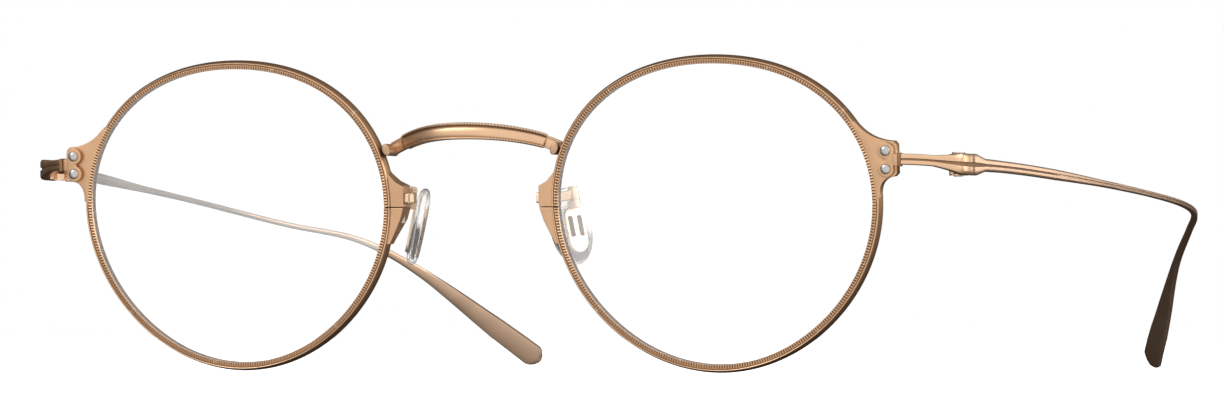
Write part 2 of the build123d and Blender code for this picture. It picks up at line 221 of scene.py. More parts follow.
def finished_pair(mesh_data, part, body, node, materials, crease=35):
    """Finish the left piece and its mirror image; body and node get the side's name."""
    finishes = [bpy.data.materials[material] for material in materials]
    for name, side in SIDES.items():
        half = mesh_data.copy() if side > 0 else mesh_data
        if side < 0:
            bmesh.ops.transform(half, matrix=Matrix.Diagonal((-1, 1, 1, 1)), verts=half.verts)
        finished(half, f"{name}_{part}", body.format(name), [f"{node}_{name}"], finishes, crease)


def turned(mesh_data, profile, place, steps=48, axis_distance=0.0):
    """Spin a closed profile of (radius, height) about the local Z of a place."""
    verts = [mesh_data.verts.new((axis_distance + radius, 0, height)) for radius, height in profile]
    edges = [mesh_data.edges.new(pair) for pair in zip(verts, verts[1:])]
    if axis_distance:
        edges.append(mesh_data.edges.new((verts[-1], verts[0])))
    before = set(mesh_data.verts) - set(verts)
    bmesh.ops.spin(
        mesh_data, geom=verts + edges, cent=(0, 0, 0), axis=(0, 0, 1), dvec=(0, 0, 0), angle=2 * pi,
        steps=steps, use_merge=True, use_normal_flip=False, use_duplicate=False)
    made = [vert for vert in mesh_data.verts if vert not in before]
    bmesh.ops.remove_doubles(mesh_data, verts=made, dist=0.0005 * MM)
    made = [vert for vert in mesh_data.verts if vert not in before]
    bmesh.ops.transform(mesh_data, matrix=place, verts=made)
    return made


def slab(mesh_data, outline, low, high, place, rounding, material_index=0, tone=0.0):
    """Extrude a flat outline between two heights along the local Z of a place, with rounded edges."""
    patina_and_painted_shade = mesh_data.verts.layers.float["patina_and_painted_shade"]
    verts = [mesh_data.verts.new((point[0], point[1], low)) for point in outline]
    base = mesh_data.faces.new(verts)
    raised = bmesh.ops.extrude_face_region(mesh_data, geom=[base])
    top = [part for part in raised["geom"] if isinstance(part, bmesh.types.BMVert)]
    bmesh.ops.translate(mesh_data, verts=top, vec=(0, 0, high - low))
    everything = set(verts) | set(top)
    faces = {face for vert in everything for face in vert.link_faces}
    bmesh.ops.recalc_face_normals(mesh_data, faces=list(faces))
    rims = [edge for edge in {e for v in everything for e in v.link_edges}
            if abs(edge.verts[0].co.z - edge.verts[1].co.z) < 1e-9]
    rounded = bmesh.ops.bevel(
        mesh_data, geom=rims, offset=rounding, offset_type="OFFSET", segments=3, profile=0.5,
        affect="EDGES", material=-1, clamp_overlap=True)
    everything = {v for v in everything if v.is_valid} | set(rounded["verts"])
    faces = {face for vert in everything for face in vert.link_faces}
    for face in faces:
        face.material_index = material_index
    everything = {vert for face in faces for vert in face.verts}
    for vert in everything:
        vert[patina_and_painted_shade] = tone
    bmesh.ops.transform(mesh_data, matrix=place, verts=list(everything))


class SmoothPath:
    """A smooth curve through points, walked by share of its length."""

    def __init__(self, points, start=None, end=None):
        points = np.array([tuple(point) for point in points])
        count = len(points)
        gaps = np.linalg.norm(np.diff(points, axis=0), axis=1)
        system = np.zeros((count, count))
        right = np.zeros((count, 3))
        for i in range(1, count - 1):
            before, after = gaps[i - 1], gaps[i]
            system[i, i - 1:i + 2] = after, 2 * (before + after), before
            right[i] = 3 * (after * (points[i] - points[i - 1]) / before
                            + before * (points[i + 1] - points[i]) / after)
        for row, beside, gap, step, slope in (
                (0, 1, gaps[0], points[1] - points[0], start),
                (count - 1, count - 2, gaps[-1], points[-1] - points[-2], end)):
            if slope is None:
                system[row, row], system[row, beside] = 2, 1
                right[row] = 3 * step / gap
            else:
                system[row, row] = 1
                right[row] = np.array(slope) / np.linalg.norm(slope)
        slopes = np.linalg.solve(system, right)
        self.places = []
        shares = np.linspace(0, 1, 41)
        for i, gap in enumerate(gaps):
            for share in shares if i == count - 2 else shares[:-1]:
                rest = 1 - share
                self.places.append(
                    points[i] * (1 + 2 * share) * rest**2 + slopes[i] * gap * share * rest**2
                    + points[i + 1] * share**2 * (3 - 2 * share) - slopes[i + 1] * gap * share**2 * rest)
        self.places = np.array(self.places)
        walked = np.linalg.norm(np.diff(self.places, axis=0), axis=1)
        self.walked = np.concatenate(([0], np.cumsum(walked)))
        self.length = float(self.walked[-1])

    def point(self, share):
        return Vector([np.interp(share * self.length, self.walked, self.places[:, i]) for i in range(3)])

    def direction(self, share):
        near = 0.002
        return (self.point(min(share + near, 1)) - self.point(max(share - near, 0))).normalized()


def between(stations, share):
    """The sizes at a share of the path, from the stations on either side."""
    for before, after in zip(stations, stations[1:]):
        if before[0] <= share <= after[0]:
            part = (share - before[0]) / max(after[0] - before[0], 1e-9)
            return [low + part * (high - low) for low, high in zip(before[1:], after[1:])]
    return stations[-1][1:]


def drawn_bar(mesh_data, path, stations, section, steps):
    """Draw a section along a path.  section(sizes, share) gives its (inwards, up) points in order."""
    patina_and_painted_shade = mesh_data.verts.layers.float["patina_and_painted_shade"]
    count = len(section(between(stations, 0), 0))
    sheet = bmesh.ops.create_grid(mesh_data, x_segments=count, y_segments=steps, size=0.5)["verts"]
    rings = {}
    for vert in sheet:
        column = round((vert.co.x + 0.5) * count) % count
        row = round((vert.co.y + 0.5) * steps)
        if row not in rings:
            share = row / steps
            direction = path.direction(share)
            inwards = Vector((0, 0, 1)).cross(direction).normalized()
            up = direction.cross(inwards)
            sizes = between(stations, share)
            twist = radians(sizes[2])
            ring = []
            for across, height, depth in section(sizes, share):
                turned_across = across * cos(twist) - height * sin(twist)
                turned_height = across * sin(twist) + height * cos(twist)
                ring.append((path.point(share) + inwards * turned_across + up * turned_height, depth))
            rings[row] = ring
        vert.co, vert[patina_and_painted_shade] = rings[row][column]
    bmesh.ops.remove_doubles(mesh_data, verts=sheet, dist=0.001 * MM)
    open_edges = [edge for edge in mesh_data.edges if edge.is_boundary]
    bmesh.ops.holes_fill(mesh_data, edges=open_edges, sides=0)


# -------------------- materials
def new_group(name, inputs, outputs):
    """A shader node group with named inputs and outputs; returns it with its two end nodes."""
    group = bpy.data.node_groups.new(name, "ShaderNodeTree")
    for label, kind, default in inputs:
        socket = group.interface.new_socket(label, in_out="INPUT", socket_type=kind)
        socket.default_value = default
    for label, kind in outputs:
        group.interface.new_socket(label, in_out="OUTPUT", socket_type=kind)
    return group, group.nodes.new("NodeGroupInput"), group.nodes.new("NodeGroupOutput")


def maths(tree, operation, first, second, clamp=False):
    """A Math node fed by sockets or numbers; returns its output."""
    node = tree.nodes.new("ShaderNodeMath")
    node.operation = operation
    node.use_clamp = clamp
    for socket, value in zip(node.inputs, (first, second)):
        if isinstance(value, (int, float)):
            socket.default_value = value
        else:
            tree.links.new(value, socket)
    return node.outputs[0]


def mixed(tree, factor, first, second):
    """A colour Mix node fed by sockets or colours; returns its output."""
    node = tree.nodes.new("ShaderNodeMix")
    node.data_type = "RGBA"
    for socket, value in zip((node.inputs[0], node.inputs[6], node.inputs[7]), (factor, first, second)):
        if isinstance(value, bpy.types.NodeSocket):
            tree.links.new(value, socket)
        else:
            socket.default_value = value
    return node.outputs[2]


def noise(tree, scale, detail=3.0, stretch=(1, 1, 1)):
    """Noise on the piece's own coordinates, with its scale in features per metre."""
    place = tree.nodes.new("ShaderNodeTexCoord")
    mapping = tree.nodes.new("ShaderNodeMapping")
    mapping.inputs["Scale"].default_value = stretch
    tree.links.new(place.outputs["Object"], mapping.inputs["Vector"])
    node = tree.nodes.new("ShaderNodeTexNoise")
    node.inputs["Detail"].default_value = detail
    tree.links.new(mapping.outputs["Vector"], node.inputs["Vector"])
    if isinstance(scale, (int, float)):
        node.inputs["Scale"].default_value = scale
    else:
        tree.links.new(scale, node.inputs["Scale"])
    return node.outputs["Fac"]


def build_satin_grain():
    """Fine brushing and polishing haze, shared by all the metals."""
    group, given, result = new_group(
        "satin_grain",
        [("Scale", "NodeSocketFloat", 9000.0), ("Roughness", "NodeSocketFloat", 0.25),
         ("Spread", "NodeSocketFloat", 0.1)],
        [("Roughness", "NodeSocketFloat"), ("Height", "NodeSocketFloat")])
    grain = noise(group, given.outputs["Scale"], 4.0, (1, 0.35, 1))
    haze = noise(group, 420.0, 2.0)
    varied = maths(group, "ADD", maths(group, "MULTIPLY", grain, 0.5), maths(group, "MULTIPLY", haze, 0.5))
    offset = maths(group, "MULTIPLY", maths(group, "SUBTRACT", varied, 0.5), given.outputs["Spread"])
    rough = maths(group, "ADD", given.outputs["Roughness"], offset, clamp=True)
    group.links.new(rough, result.inputs["Roughness"])
    group.links.new(grain, result.inputs["Height"])
    return group


def build_patina_and_painted_shade():
    """Brown that stays in the hollows, painted shade from each point's given share, bright worn edges, and
    slow changes of tone.
    """
    group, given, result = new_group(
        "antique_patina_and_painted_shade",
        [("Metal", "NodeSocketColor", (0.7, 0.45, 0.3, 1)),
         ("Recess", "NodeSocketColor", (0.1, 0.05, 0.02, 1)),
         ("Depth", "NodeSocketFloat", 0.8), ("Wear", "NodeSocketFloat", 0.3),
         ("Patina And Painted Shade", "NodeSocketFloat", 0.0)],
        [("Color", "NodeSocketColor"), ("Recess", "NodeSocketFloat")])
    geometry = group.nodes.new("ShaderNodeNewGeometry")
    patina_and_painted_shade = group.nodes.new("ShaderNodeMapRange")
    patina_and_painted_shade.inputs["From Min"].default_value = 0.49
    patina_and_painted_shade.inputs["From Max"].default_value = 0.42
    group.links.new(geometry.outputs["Pointiness"], patina_and_painted_shade.inputs["Value"])
    edge = group.nodes.new("ShaderNodeMapRange")
    edge.inputs["From Min"].default_value = 0.52
    edge.inputs["From Max"].default_value = 0.6
    group.links.new(geometry.outputs["Pointiness"], edge.inputs["Value"])
    tone = noise(group, 260.0, 3.0)
    fleck = noise(group, 5200.0, 2.0)
    shade = maths(group, "ADD", maths(group, "MULTIPLY", tone, 0.22), maths(group, "MULTIPLY", fleck, 0.1))
    darker = mixed(group, shade, given.outputs["Metal"], given.outputs["Recess"])
    worn = maths(group, "MULTIPLY", edge.outputs["Result"], given.outputs["Wear"])
    lifted = mixed(group, worn, darker, (1.0, 0.86, 0.70, 1))
    found = maths(group, "MULTIPLY", patina_and_painted_shade.outputs["Result"], given.outputs["Depth"], clamp=True)
    deep = maths(group, "MAXIMUM", found, given.outputs["Patina And Painted Shade"], clamp=True)
    group.links.new(mixed(group, deep, lifted, given.outputs["Recess"]), result.inputs["Color"])
    group.links.new(deep, result.inputs["Recess"])
    return group


def principled(name, **numbers):
    """A material with one Principled shader, its constant numbers set on its own sockets."""
    material = bpy.data.materials.new(name)
    material.use_nodes = True
    tree = material.node_tree
    shader = tree.nodes["Principled BSDF"]
    for label, value in numbers.items():
        shader.inputs[label.replace("_", " ")].default_value = value
    return material, tree, shader


def surface_relief(tree, shader, height, depth, strength):
    """Feed a height into the shader's normal."""
    bump = tree.nodes.new("ShaderNodeBump")
    bump.inputs["Strength"].default_value = strength
    bump.inputs["Distance"].default_value = depth
    tree.links.new(height, bump.inputs["Height"])
    tree.links.new(bump.outputs["Normal"], shader.inputs["Normal"])


def antique_metal(name, colour, recess_and_shade, roughness, spread, wear=0.3, depth=0.8, relief=0.25):
    """An antique gold finish with its own tone and polish."""
    material, tree, shader = principled(name, Metallic=1.0, Specular_Tint=(1.0, 0.9, 0.8, 1))
    patina_and_shade = tree.nodes.new("ShaderNodeGroup")
    patina_and_shade.node_tree = bpy.data.node_groups["antique_patina_and_painted_shade"]
    patina_and_shade.inputs["Metal"].default_value = (*colour, 1)
    patina_and_shade.inputs["Recess"].default_value = (*recess_and_shade, 1)
    patina_and_shade.inputs["Depth"].default_value = depth
    patina_and_shade.inputs["Wear"].default_value = wear
    worked = tree.nodes.new("ShaderNodeAttribute")
    worked.attribute_name = "patina_and_painted_shade"
    tree.links.new(worked.outputs["Fac"], patina_and_shade.inputs["Patina And Painted Shade"])
    grain = tree.nodes.new("ShaderNodeGroup")
    grain.node_tree = bpy.data.node_groups["satin_grain"]
    grain.inputs["Roughness"].default_value = roughness
    grain.inputs["Spread"].default_value = spread
    rough = maths(tree, "ADD", grain.outputs["Roughness"],
                  maths(tree, "MULTIPLY", patina_and_shade.outputs["Recess"], 0.3), clamp=True)
    tree.links.new(patina_and_shade.outputs["Color"], shader.inputs["Base Color"])
    tree.links.new(rough, shader.inputs["Roughness"])
    surface_relief(tree, shader, grain.outputs["Height"], 0.01 * MM, relief)
    return material


def clear_lens(name, colour):
    """Clear coated plastic with the faintest polishing haze."""
    material, tree, shader = principled(
        name, Transmission_Weight=1.0, IOR=1.5, Metallic=0.0, Alpha=0.04)
    haze = maths(tree, "MULTIPLY", noise(tree, 90.0, 4.0), 0.02)
    tree.links.new(haze, shader.inputs["Roughness"])
    tone = mixed(tree, noise(tree, 45.0, 2.0), (*colour, 1), tuple(c * 0.97 for c in colour) + (1,))
    tree.links.new(tone, shader.inputs["Base Color"])
    return material


def clear_silicone(name, colour):
    """Soft clear silicone with a fine skin."""
    material, tree, shader = principled(
        name, Transmission_Weight=0.94, IOR=1.41, Metallic=0.0)
    skin = noise(tree, 2600.0, 4.0)
    rough = maths(tree, "ADD", maths(tree, "MULTIPLY", noise(tree, 700.0, 3.0), 0.16), 0.1)
    tree.links.new(rough, shader.inputs["Roughness"])
    tone = mixed(tree, noise(tree, 500.0, 3.0), (*colour, 1), tuple(c * 0.93 for c in colour) + (1,))
    tree.links.new(tone, shader.inputs["Base Color"])
    surface_relief(tree, shader, skin, 0.02 * MM, 0.3)
    return material


def studio_floor(name, colour):
    """Pale paper sweep."""
    material, tree, shader = principled(name, Metallic=0.0, Specular_IOR_Level=0.0)
    rough = maths(tree, "ADD", maths(tree, "MULTIPLY", noise(tree, 60.0, 4.0), 0.1), 0.75)
    tree.links.new(rough, shader.inputs["Roughness"])
    tone = mixed(tree, noise(tree, 8.0, 3.0), (*colour, 1), tuple(c * 0.985 for c in colour) + (1,))
    tree.links.new(tone, shader.inputs["Base Color"])
    return material


class OBJECT_OT_glasses_materials(bpy.types.Operator):
    """Make the finishes that the pieces share"""
    bl_idname = "glasses.materials"
    bl_label = "Finishes"

    def execute(self, context):
        tones = context.scene.glasses_colours
        build_satin_grain()
        build_patina_and_painted_shade()
        recess_and_shade = tones.recess_and_shade
        antique_metal("rim_gold", tones.rim, recess_and_shade, 0.24, 0.16, wear=0.35)
        antique_metal("matt_gold", tones.flat, recess_and_shade, 0.4, 0.1, wear=0.0, depth=0.0, relief=0.6)
        antique_metal("frame_gold", tones.body, recess_and_shade, 0.32, 0.14)
        antique_metal("temple_gold", tones.temple, recess_and_shade, 0.33, 0.12, wear=0.15)
        antique_metal("pad_gold", tones.cream, recess_and_shade, 0.4, 0.12, depth=0.4)
        antique_metal("rivet_silver", tones.silver, (0.3, 0.3, 0.32), 0.2, 0.1, wear=0.1, depth=0.3)
        antique_metal("screw_steel", tones.steel, recess_and_shade, 0.3, 0.16, wear=0.2)
        clear_lens("lens_clear", tones.lens)
        clear_silicone("pad_silicone", tones.silicone)
        studio_floor("studio_floor", tones.floor)
        return {"FINISHED"}


# -------------------- rims
# (distance out from the opening, forwards), in millimetres, from the inner front edge
RIM_PROFILE = (
    (0.0, -0.28), (0.0, -0.12), (0.03, -0.04), (0.07, 0.0), (0.18, 0.0), (0.3, 0.0), (0.42, 0.0), (0.51, 0.0),
    (0.58, -0.02), (0.61, -0.1), (0.66, -0.1), (0.69, -0.01), (0.74, 0.06), (0.8, 0.08), (0.86, 0.05),
    (0.91, -0.04), (0.97, -0.18), (1.06, -0.4), (1.14, -0.66), (1.19, -0.94), (1.2, -1.2), (1.15, -1.34),
    (1.02, -1.4), (0.6, -1.4), (0.16, -1.4), (0.04, -1.34), (0.0, -1.24), (0.0, -1.0), (0.5, -1.0),
    (0.5, -0.4), (0.0, -0.4),
)
RIB_BAND = (0.05 * MM, 0.56 * MM)
STEPS_PER_RIB = 4
WING_START = 4.0               # degrees round the rim where the wing's lower edge leaves it
WING_END = 30.5
OUTER_WALL_PAINTED_SHADE = 0.68               # painted shade: how far the rim's outer wall is darkened towards the brown, standing in for its dark reflection
# painted shade: how far the rim's inner wall behind the lens is darkened towards the brown
INNER_WALL_PAINTED_SHADE = 0.15
RIB_TONE = 0.85                # how brown the valleys between the ribs and the groove have stayed
GROOVE_TONE = 0.5
GROOVE_BAND = (0.59 * MM, 0.68 * MM)
BEAD_BAND = (0.68 * MM, 0.9 * MM)
PROFILE_BEAD = 0.08 * MM       # height of the bead in the profile above
OUTER_WALL = 0.93 * MM
RIM_CORE = (0.6 * MM, -0.7 * MM)   # middle of the rim's section, which the split notch is drawn towards
SPLIT_HALF_WIDTH = radians(0.13)


def ring_shape(mesh_data, sizes):
    """The rim: a spun section with coin-edge ribs, a groove and a smooth outer bead."""
    profile = [(out * MM, forward * MM) for out, forward in RIM_PROFILE]
    steps = sizes.rib_count * STEPS_PER_RIB
    verts = turned(mesh_data, profile, Matrix.Identity(4), steps=steps, axis_distance=OPENING_MEAN)
    patina_and_painted_shade = mesh_data.verts.layers.float["patina_and_painted_shade"]
    split_angle = pi - SPLIT_HEIGHT / (OPENING_MEAN + RIM_WIDTH)
    for vert in verts:
        angle = atan2(vert.co.y, vert.co.x)
        out = hypot(vert.co.x, vert.co.y) - OPENING_MEAN
        forward = vert.co.z
        on_wing = eased(angle, radians(WING_START - 2), radians(WING_START + 1))
        on_wing *= 1 - eased(angle, radians(WING_END - 1), radians(WING_END + 2))
        tone = 0
        if forward > -0.05 * MM and RIB_BAND[0] < out < RIB_BAND[1]:
            crest = 0.5 + 0.5 * cos(sizes.rib_count * angle)
            forward += sizes.rib_height * (crest - 0.5)
            tone = RIB_TONE * (1 - crest)
        elif GROOVE_BAND[0] < out < GROOVE_BAND[1] and -0.2 * MM < forward:
            forward += 0.08 * MM * on_wing
            tone = GROOVE_TONE * (1 - on_wing)
        elif BEAD_BAND[0] < out < BEAD_BAND[1] and forward > -0.02 * MM:
            forward *= sizes.bead_height / PROFILE_BEAD * (1 - on_wing)
            forward -= 0.04 * MM * on_wing
        elif out > OUTER_WALL and forward > -1.38 * MM:
            # painted shade: the outer wall is darkened towards the brown, standing in for its dark reflection
            tone = OUTER_WALL_PAINTED_SHADE
        elif out < 0.01 * MM and forward < -0.2 * MM:
            # painted shade on the inner wall behind the lens
            tone = INNER_WALL_PAINTED_SHADE
        if abs(angle - split_angle) < SPLIT_HALF_WIDTH:
            out += (RIM_CORE[0] - out) * 0.22
            forward += (RIM_CORE[1] - forward) * 0.18
            tone = 1
        radius = opening_radius(angle) + out
        vert.co = radius * cos(angle), radius * sin(angle), forward
        vert[patina_and_painted_shade] = tone
    bmesh.ops.transform(mesh_data, matrix=FRONT, verts=verts)


def wing_outline():
    """The flat wing that flares out of the rim to carry the riveted plate."""
    inner = [on_ring(WING_END + (WING_START - WING_END) * i / 12, RIB_BAND[1]) for i in range(13)]
    reach = WING_TIP - 0.4 * MM
    root = RIM_WIDTH - 0.06 * MM
    lower = curve_between(
        on_ring(WING_START, root), Vector((23.5, 4.35, 0)) * MM, Vector((reach, 4.5 * MM, 0)), 8)
    tip = [Vector((WING_TIP, 4.9 * MM, 0)), Vector((WING_TIP, 8.8 * MM, 0))]
    upper = curve_between(
        Vector((reach, 9.25 * MM, 0)), Vector((22.4, 9.35, 0)) * MM, on_ring(WING_END, root), 8)
    return inner + lower + tip + upper


class OBJECT_OT_glasses_rims(bpy.types.Operator):
    """Make both rims, with their ribs, beads and wings"""
    bl_idname = "glasses.rims"
    bl_label = "Rims"

    def execute(self, context):
        sizes = context.scene.glasses_sizes
        mesh_data = new_shape()
        ring_shape(mesh_data, sizes)
        slab(mesh_data, wing_outline(), -RIM_DEPTH, 0.0, FRONT, 0.07 * MM, material_index=1)
        finished_pair(mesh_data, "rim_ring", "front", "rim", ["rim_gold", "matt_gold"], 50)
        return {"FINISHED"}


# -------------------- lenses
class OBJECT_OT_glasses_lenses(bpy.types.Operator):
    """Make both clear lenses, with the ridge that sits in the rim's groove"""
    bl_idname = "glasses.lenses"
    bl_label = "Lenses"

    def execute(self, context):
        sizes = context.scene.glasses_sizes
        curve, thick = sizes.lens_curve, sizes.lens_thickness
        ridge = 0.42 * MM
        edge_sag = curve - sqrt(curve**2 - OPENING_MEAN**2)
        apex = -RIM_DEPTH / 2 + thick / 2 + edge_sag
        rings = 14
        mesh_data = new_shape()
        front_face = [(OPENING_MEAN * i / rings, 1.0) for i in range(rings + 1)]
        back_face = [(radius, -1.0) for radius, face in reversed(front_face)]
        ridge_edge = [(OPENING_MEAN + ridge, 0.5), (OPENING_MEAN + ridge, -0.5)]
        verts = turned(mesh_data, front_face + ridge_edge + back_face, Matrix.Identity(4), steps=128)
        for vert in verts:
            angle = atan2(vert.co.y, vert.co.x)
            radius = hypot(vert.co.x, vert.co.y)
            face = vert.co.z
            grown = radius / OPENING_MEAN * (opening_radius(angle) - OPENING_MEAN)
            wide = radius + grown - 0.04 * MM * min(1, radius / OPENING_MEAN)
            if abs(face) < 0.9:
                height = -RIM_DEPTH / 2 + face * 0.4 * MM
            else:
                ball = curve if face > 0 else curve - thick
                height = apex - curve + sqrt(ball**2 - wide**2)
            vert.co = wide * cos(angle), wide * sin(angle), height
        bmesh.ops.transform(mesh_data, matrix=FRONT, verts=verts)
        finished_pair(mesh_data, "clear_lens", "front", "lens", ["lens_clear"])
        return {"FINISHED"}


# -------------------- closing blocks
LOCK_BACK = -2.9 * MM          # the blocks' back and front, forwards from the rim's front edge
LOCK_FRONT = -0.2 * MM
# painted shade on the part of each closing block that stands out behind the rim
LOCK_BACK_PAINTED_SHADE = 0.45


class OBJECT_OT_glasses_closing_blocks(bpy.types.Operator):
    """Make the blocks that close each rim on the nose side"""
    bl_idname = "glasses.closing_blocks"
    bl_label = "Closing blocks"

    def execute(self, context):
        half_gap = 0.04 * MM
        upper_edge = [Vector((-22.6, 6.4, 0)) * MM, Vector((-23.3, 5.2, 0)) * MM,
                      Vector((-24.3, 4.1, 0)) * MM, Vector((-LOCK_FACE, 3.5 * MM, 0)),
                      Vector((-LOCK_FACE, SPLIT_HEIGHT + half_gap, 0))]
        lower_edge = [Vector((-LOCK_FACE, SPLIT_HEIGHT - half_gap, 0)),
                      Vector((-LOCK_FACE + 0.6 * MM, -1.2 * MM, 0)), Vector((-23.2, -4.5, 0)) * MM]
        # each block's inner side follows the rim, inside the ring's metal
        inside = 0.62 * MM
        upper_inner = [on_ring(178.4 - 14.6 * i / 6, inside) for i in range(7)]
        lower_inner = [on_ring(191.4 - 12.8 * i / 6, inside) for i in range(7)]
        for place, outline in (("upper", upper_inner + upper_edge), ("lower", lower_inner + lower_edge)):
            mesh_data = new_shape()
            slab(mesh_data, outline, LOCK_BACK, LOCK_FRONT, Matrix.Identity(4), 0.12 * MM)
            patina_and_painted_shade = mesh_data.verts.layers.float["patina_and_painted_shade"]
            for vert in mesh_data.verts:
                # the back thins out towards the block's far end, where it runs into the rim
                far = eased(vert.co.y, 2.6 * MM, 6.4 * MM) + eased(-vert.co.y, 0.8 * MM, 5.0 * MM)
                if vert.co.z < -RIM_DEPTH:
                    vert.co.z += (-RIM_DEPTH - vert.co.z) * far
                    # painted shade: the block's back is darkened towards the brown
                    vert[patina_and_painted_shade] = LOCK_BACK_PAINTED_SHADE
            bmesh.ops.transform(mesh_data, matrix=FRONT, verts=mesh_data.verts)
            finished_pair(
                mesh_data, f"closing_block_{place}", "front", f"rim_lock_{place}",
                ["matt_gold"], 14)
        return {"FINISHED"}


# -------------------- end pieces
# (across, up, share of the groove) round the section, as shares of its thickness and height;
# the outer face comes first, from its top edge down, with two ridges and a groove between them
GROOVED_SECTION = (
    (-0.30, 0.50, 0), (-0.43, 0.46, 0), (-0.49, 0.38, 0), (-0.50, 0.28, 0), (-0.50, 0.16, 0),
    (-0.50, 0.10, 0), (-0.48, 0.06, 1), (-0.48, -0.06, 1), (-0.50, -0.10, 0), (-0.50, -0.16, 0),
    (-0.50, -0.28, 0), (-0.49, -0.38, 0), (-0.43, -0.46, 0), (-0.30, -0.50, 0), (0.0, -0.50, 0),
    (0.30, -0.46, 0), (0.41, -0.35, 0), (0.47, -0.2, 0), (0.5, -0.06, 0), (0.5, 0.06, 0),
    (0.47, 0.2, 0), (0.41, 0.35, 0), (0.30, 0.46, 0), (0, 0.5, 0),
)
GROOVE_DEPTH = 0.28 * MM
UNDERSIDE_PAINTED_SHADE = 0.7           # painted shade: how far the underside is darkened towards the brown
BAR_END_TONE = 0.6             # at the cut ends of the bars


def grooved_section(sizes, share):
    """The arm's and temple's section; sizes are its height, thickness, twist and groove depth."""
    height, thickness, twist, groove = sizes
    points = []
    for across, up, deep in GROOVED_SECTION:
        tone = 0.7 * deep * min(groove / GROOVE_DEPTH, 1)
        # painted shade along the bar's underside
        if up < -0.44 and across < 0.2:
            tone = UNDERSIDE_PAINTED_SHADE
        if twist == 0 and not 0.003 < share < 0.985:
            tone = BAR_END_TONE
        points.append((across * thickness + deep * groove * 0.6, up * height, tone))
    return points


def plate_outline():
    """The riveted plate: two lobes round the rivets, joined by a waist."""
    outline = []
    radius = 1.15 * MM
    for sign in (1, -1):
        centre = Vector((RIVET_SIDE, RIVET_MID + sign * RIVET_PITCH / 2, 0))
        angles = [radians(20 + 250 * i / 16) for i in range(17)]
        for angle in angles if sign > 0 else reversed(angles):
            outline.append(centre + Vector((cos(angle), sign * sin(angle), 0)) * radius)
    return outline


class OBJECT_OT_glasses_end_pieces(bpy.types.Operator):
    """Make the riveted plates, collars and grooved arms at the outer corners"""
    bl_idname = "glasses.end_pieces"
    bl_label = "End pieces"

    def execute(self, context):
        sizes = context.scene.glasses_sizes
        deep = sizes.groove_depth
        stations = [(share, height * MM, thick * MM, 0, groove * deep) for share, height, thick, groove in (
            (0.0, 1.5, 1.2, 0.9), (0.2, 1.5, 1.2, 1), (0.42, 1.5, 1.2, 1), (0.6, 2.1, 1.3, 1.1),
            (0.74, 2.8, 1.4, 1.2), (0.88, 2.9, 1.4, 1.0), (1.0, 2.9, 1.4, 0.9))]
        path = SmoothPath(
            [at(62.1, 0.95, 28.75), at(64.3, 2.7, 28.7), at(66.5, 4.9, 28.5),
             HINGE @ Vector((ARM_MIDDLE, -4.4 * MM, 0.05 * MM)), HINGE @ Vector((ARM_MIDDLE, -1.33 * MM, 0))],
            (1, 0.6, 0), HINGE.col[1].xyz)
        collar = [Vector((RIVET_SIDE + side * MM, RIVET_MID + up * MM, 0)) for side, up in (
            (1.7, -0.9), (2.2, -0.9), (2.2, 0.9), (1.7, 0.9))]
        waist = [Vector((RIVET_SIDE + side * MM, RIVET_MID + up * MM, 0)) for side, up in (
            (-0.35, -0.75), (2.05, -0.85), (2.05, 0.85), (-0.35, 0.75))]
        mesh_data = new_shape()
        drawn_bar(mesh_data, path, stations, grooved_section, 60)
        slab(mesh_data, plate_outline(), 0.0, sizes.plate_thickness, FRONT, 0.14 * MM, 1)
        slab(mesh_data, waist, 0.0, sizes.plate_thickness - 0.08 * MM, FRONT, 0.1 * MM, 1)
        # painted shade: the collar is darkened towards the brown all over
        slab(mesh_data, collar, -0.1 * MM, sizes.plate_thickness + 0.25 * MM, FRONT, 0.12 * MM, 1, 0.6)
        finished_pair(
            mesh_data, "plate_and_arm", "front", "end_piece", ["frame_gold", "matt_gold"])
        return {"FINISHED"}


class OBJECT_OT_glasses_rivets(bpy.types.Operator):
    """Make the domed rivets that hold each end piece"""
    bl_idname = "glasses.rivets"
    bl_label = "Rivets"

    def execute(self, context):
        plate = context.scene.glasses_sizes.plate_thickness
        head, shank, height, brim = 0.72 * MM, 0.38 * MM, 0.5 * MM, 0.08 * MM
        dome = []
        for i in range(9, -1, -1):
            lift = radians(90 * i / 9)
            dome.append((head * cos(lift), plate + brim + (height - brim) * sin(lift)))
        profile = dome + [(head, plate - 0.02 * MM), (shank, plate - 0.02 * MM), (shank, -RIM_DEPTH),
                          (0.6 * MM, -RIM_DEPTH - 0.02 * MM), (0.66 * MM, -RIM_DEPTH - 0.14 * MM),
                          (0.5 * MM, -RIM_DEPTH - 0.28 * MM), (0, -RIM_DEPTH - 0.3 * MM)]
        profile[0] = (0, plate + height)
        mesh_data = new_shape()
        for up in (RIVET_PITCH / 2, -RIVET_PITCH / 2):
            place = FRONT @ Matrix.Translation((RIVET_SIDE, RIVET_MID + up, 0))
            turned(mesh_data, profile, place, steps=36)
        finished_pair(mesh_data, "rivets", "front", "end_piece_rivets", ["rivet_silver"], 60)
        return {"FINISHED"}


# -------------------- temples
TIP_TWIST = -35                # degrees, of the flattened tips
# (distance from the joint, height, thickness, twist, share of the groove), in millimetres and degrees
TEMPLE_STATIONS = (
    (0.0, 2.9, 1.4, 0, 0.9), (1.5, 2.9, 1.4, 0, 1), (4.0, 1.75, 1.35, 0, 1), (9.7, 1.6, 1.3, 0, 1),
    (24.6, 1.45, 1.22, 0, 1), (25.6, 1.43, 1.21, 0, 0), (28.0, 1.35, 1.2, 0, 0), (40.0, 0.95, 1.1, 0, 0),
    (56.0, 0.78, 1.0, 0, 0), (74.0, 0.78, 0.95, 0, 0), (90.0, 0.8, 0.95, 0, 0), (102.0, 0.9, 0.95, 0, 0),
    (112.0, 1.15, 0.95, -10.5, 0), (119.0, 1.65, 0.95, -24.5, 0), (127.0, 2.5, 0.95, TIP_TWIST, 0),
    (135.0, 3.3, 0.95, TIP_TWIST, 0),
)


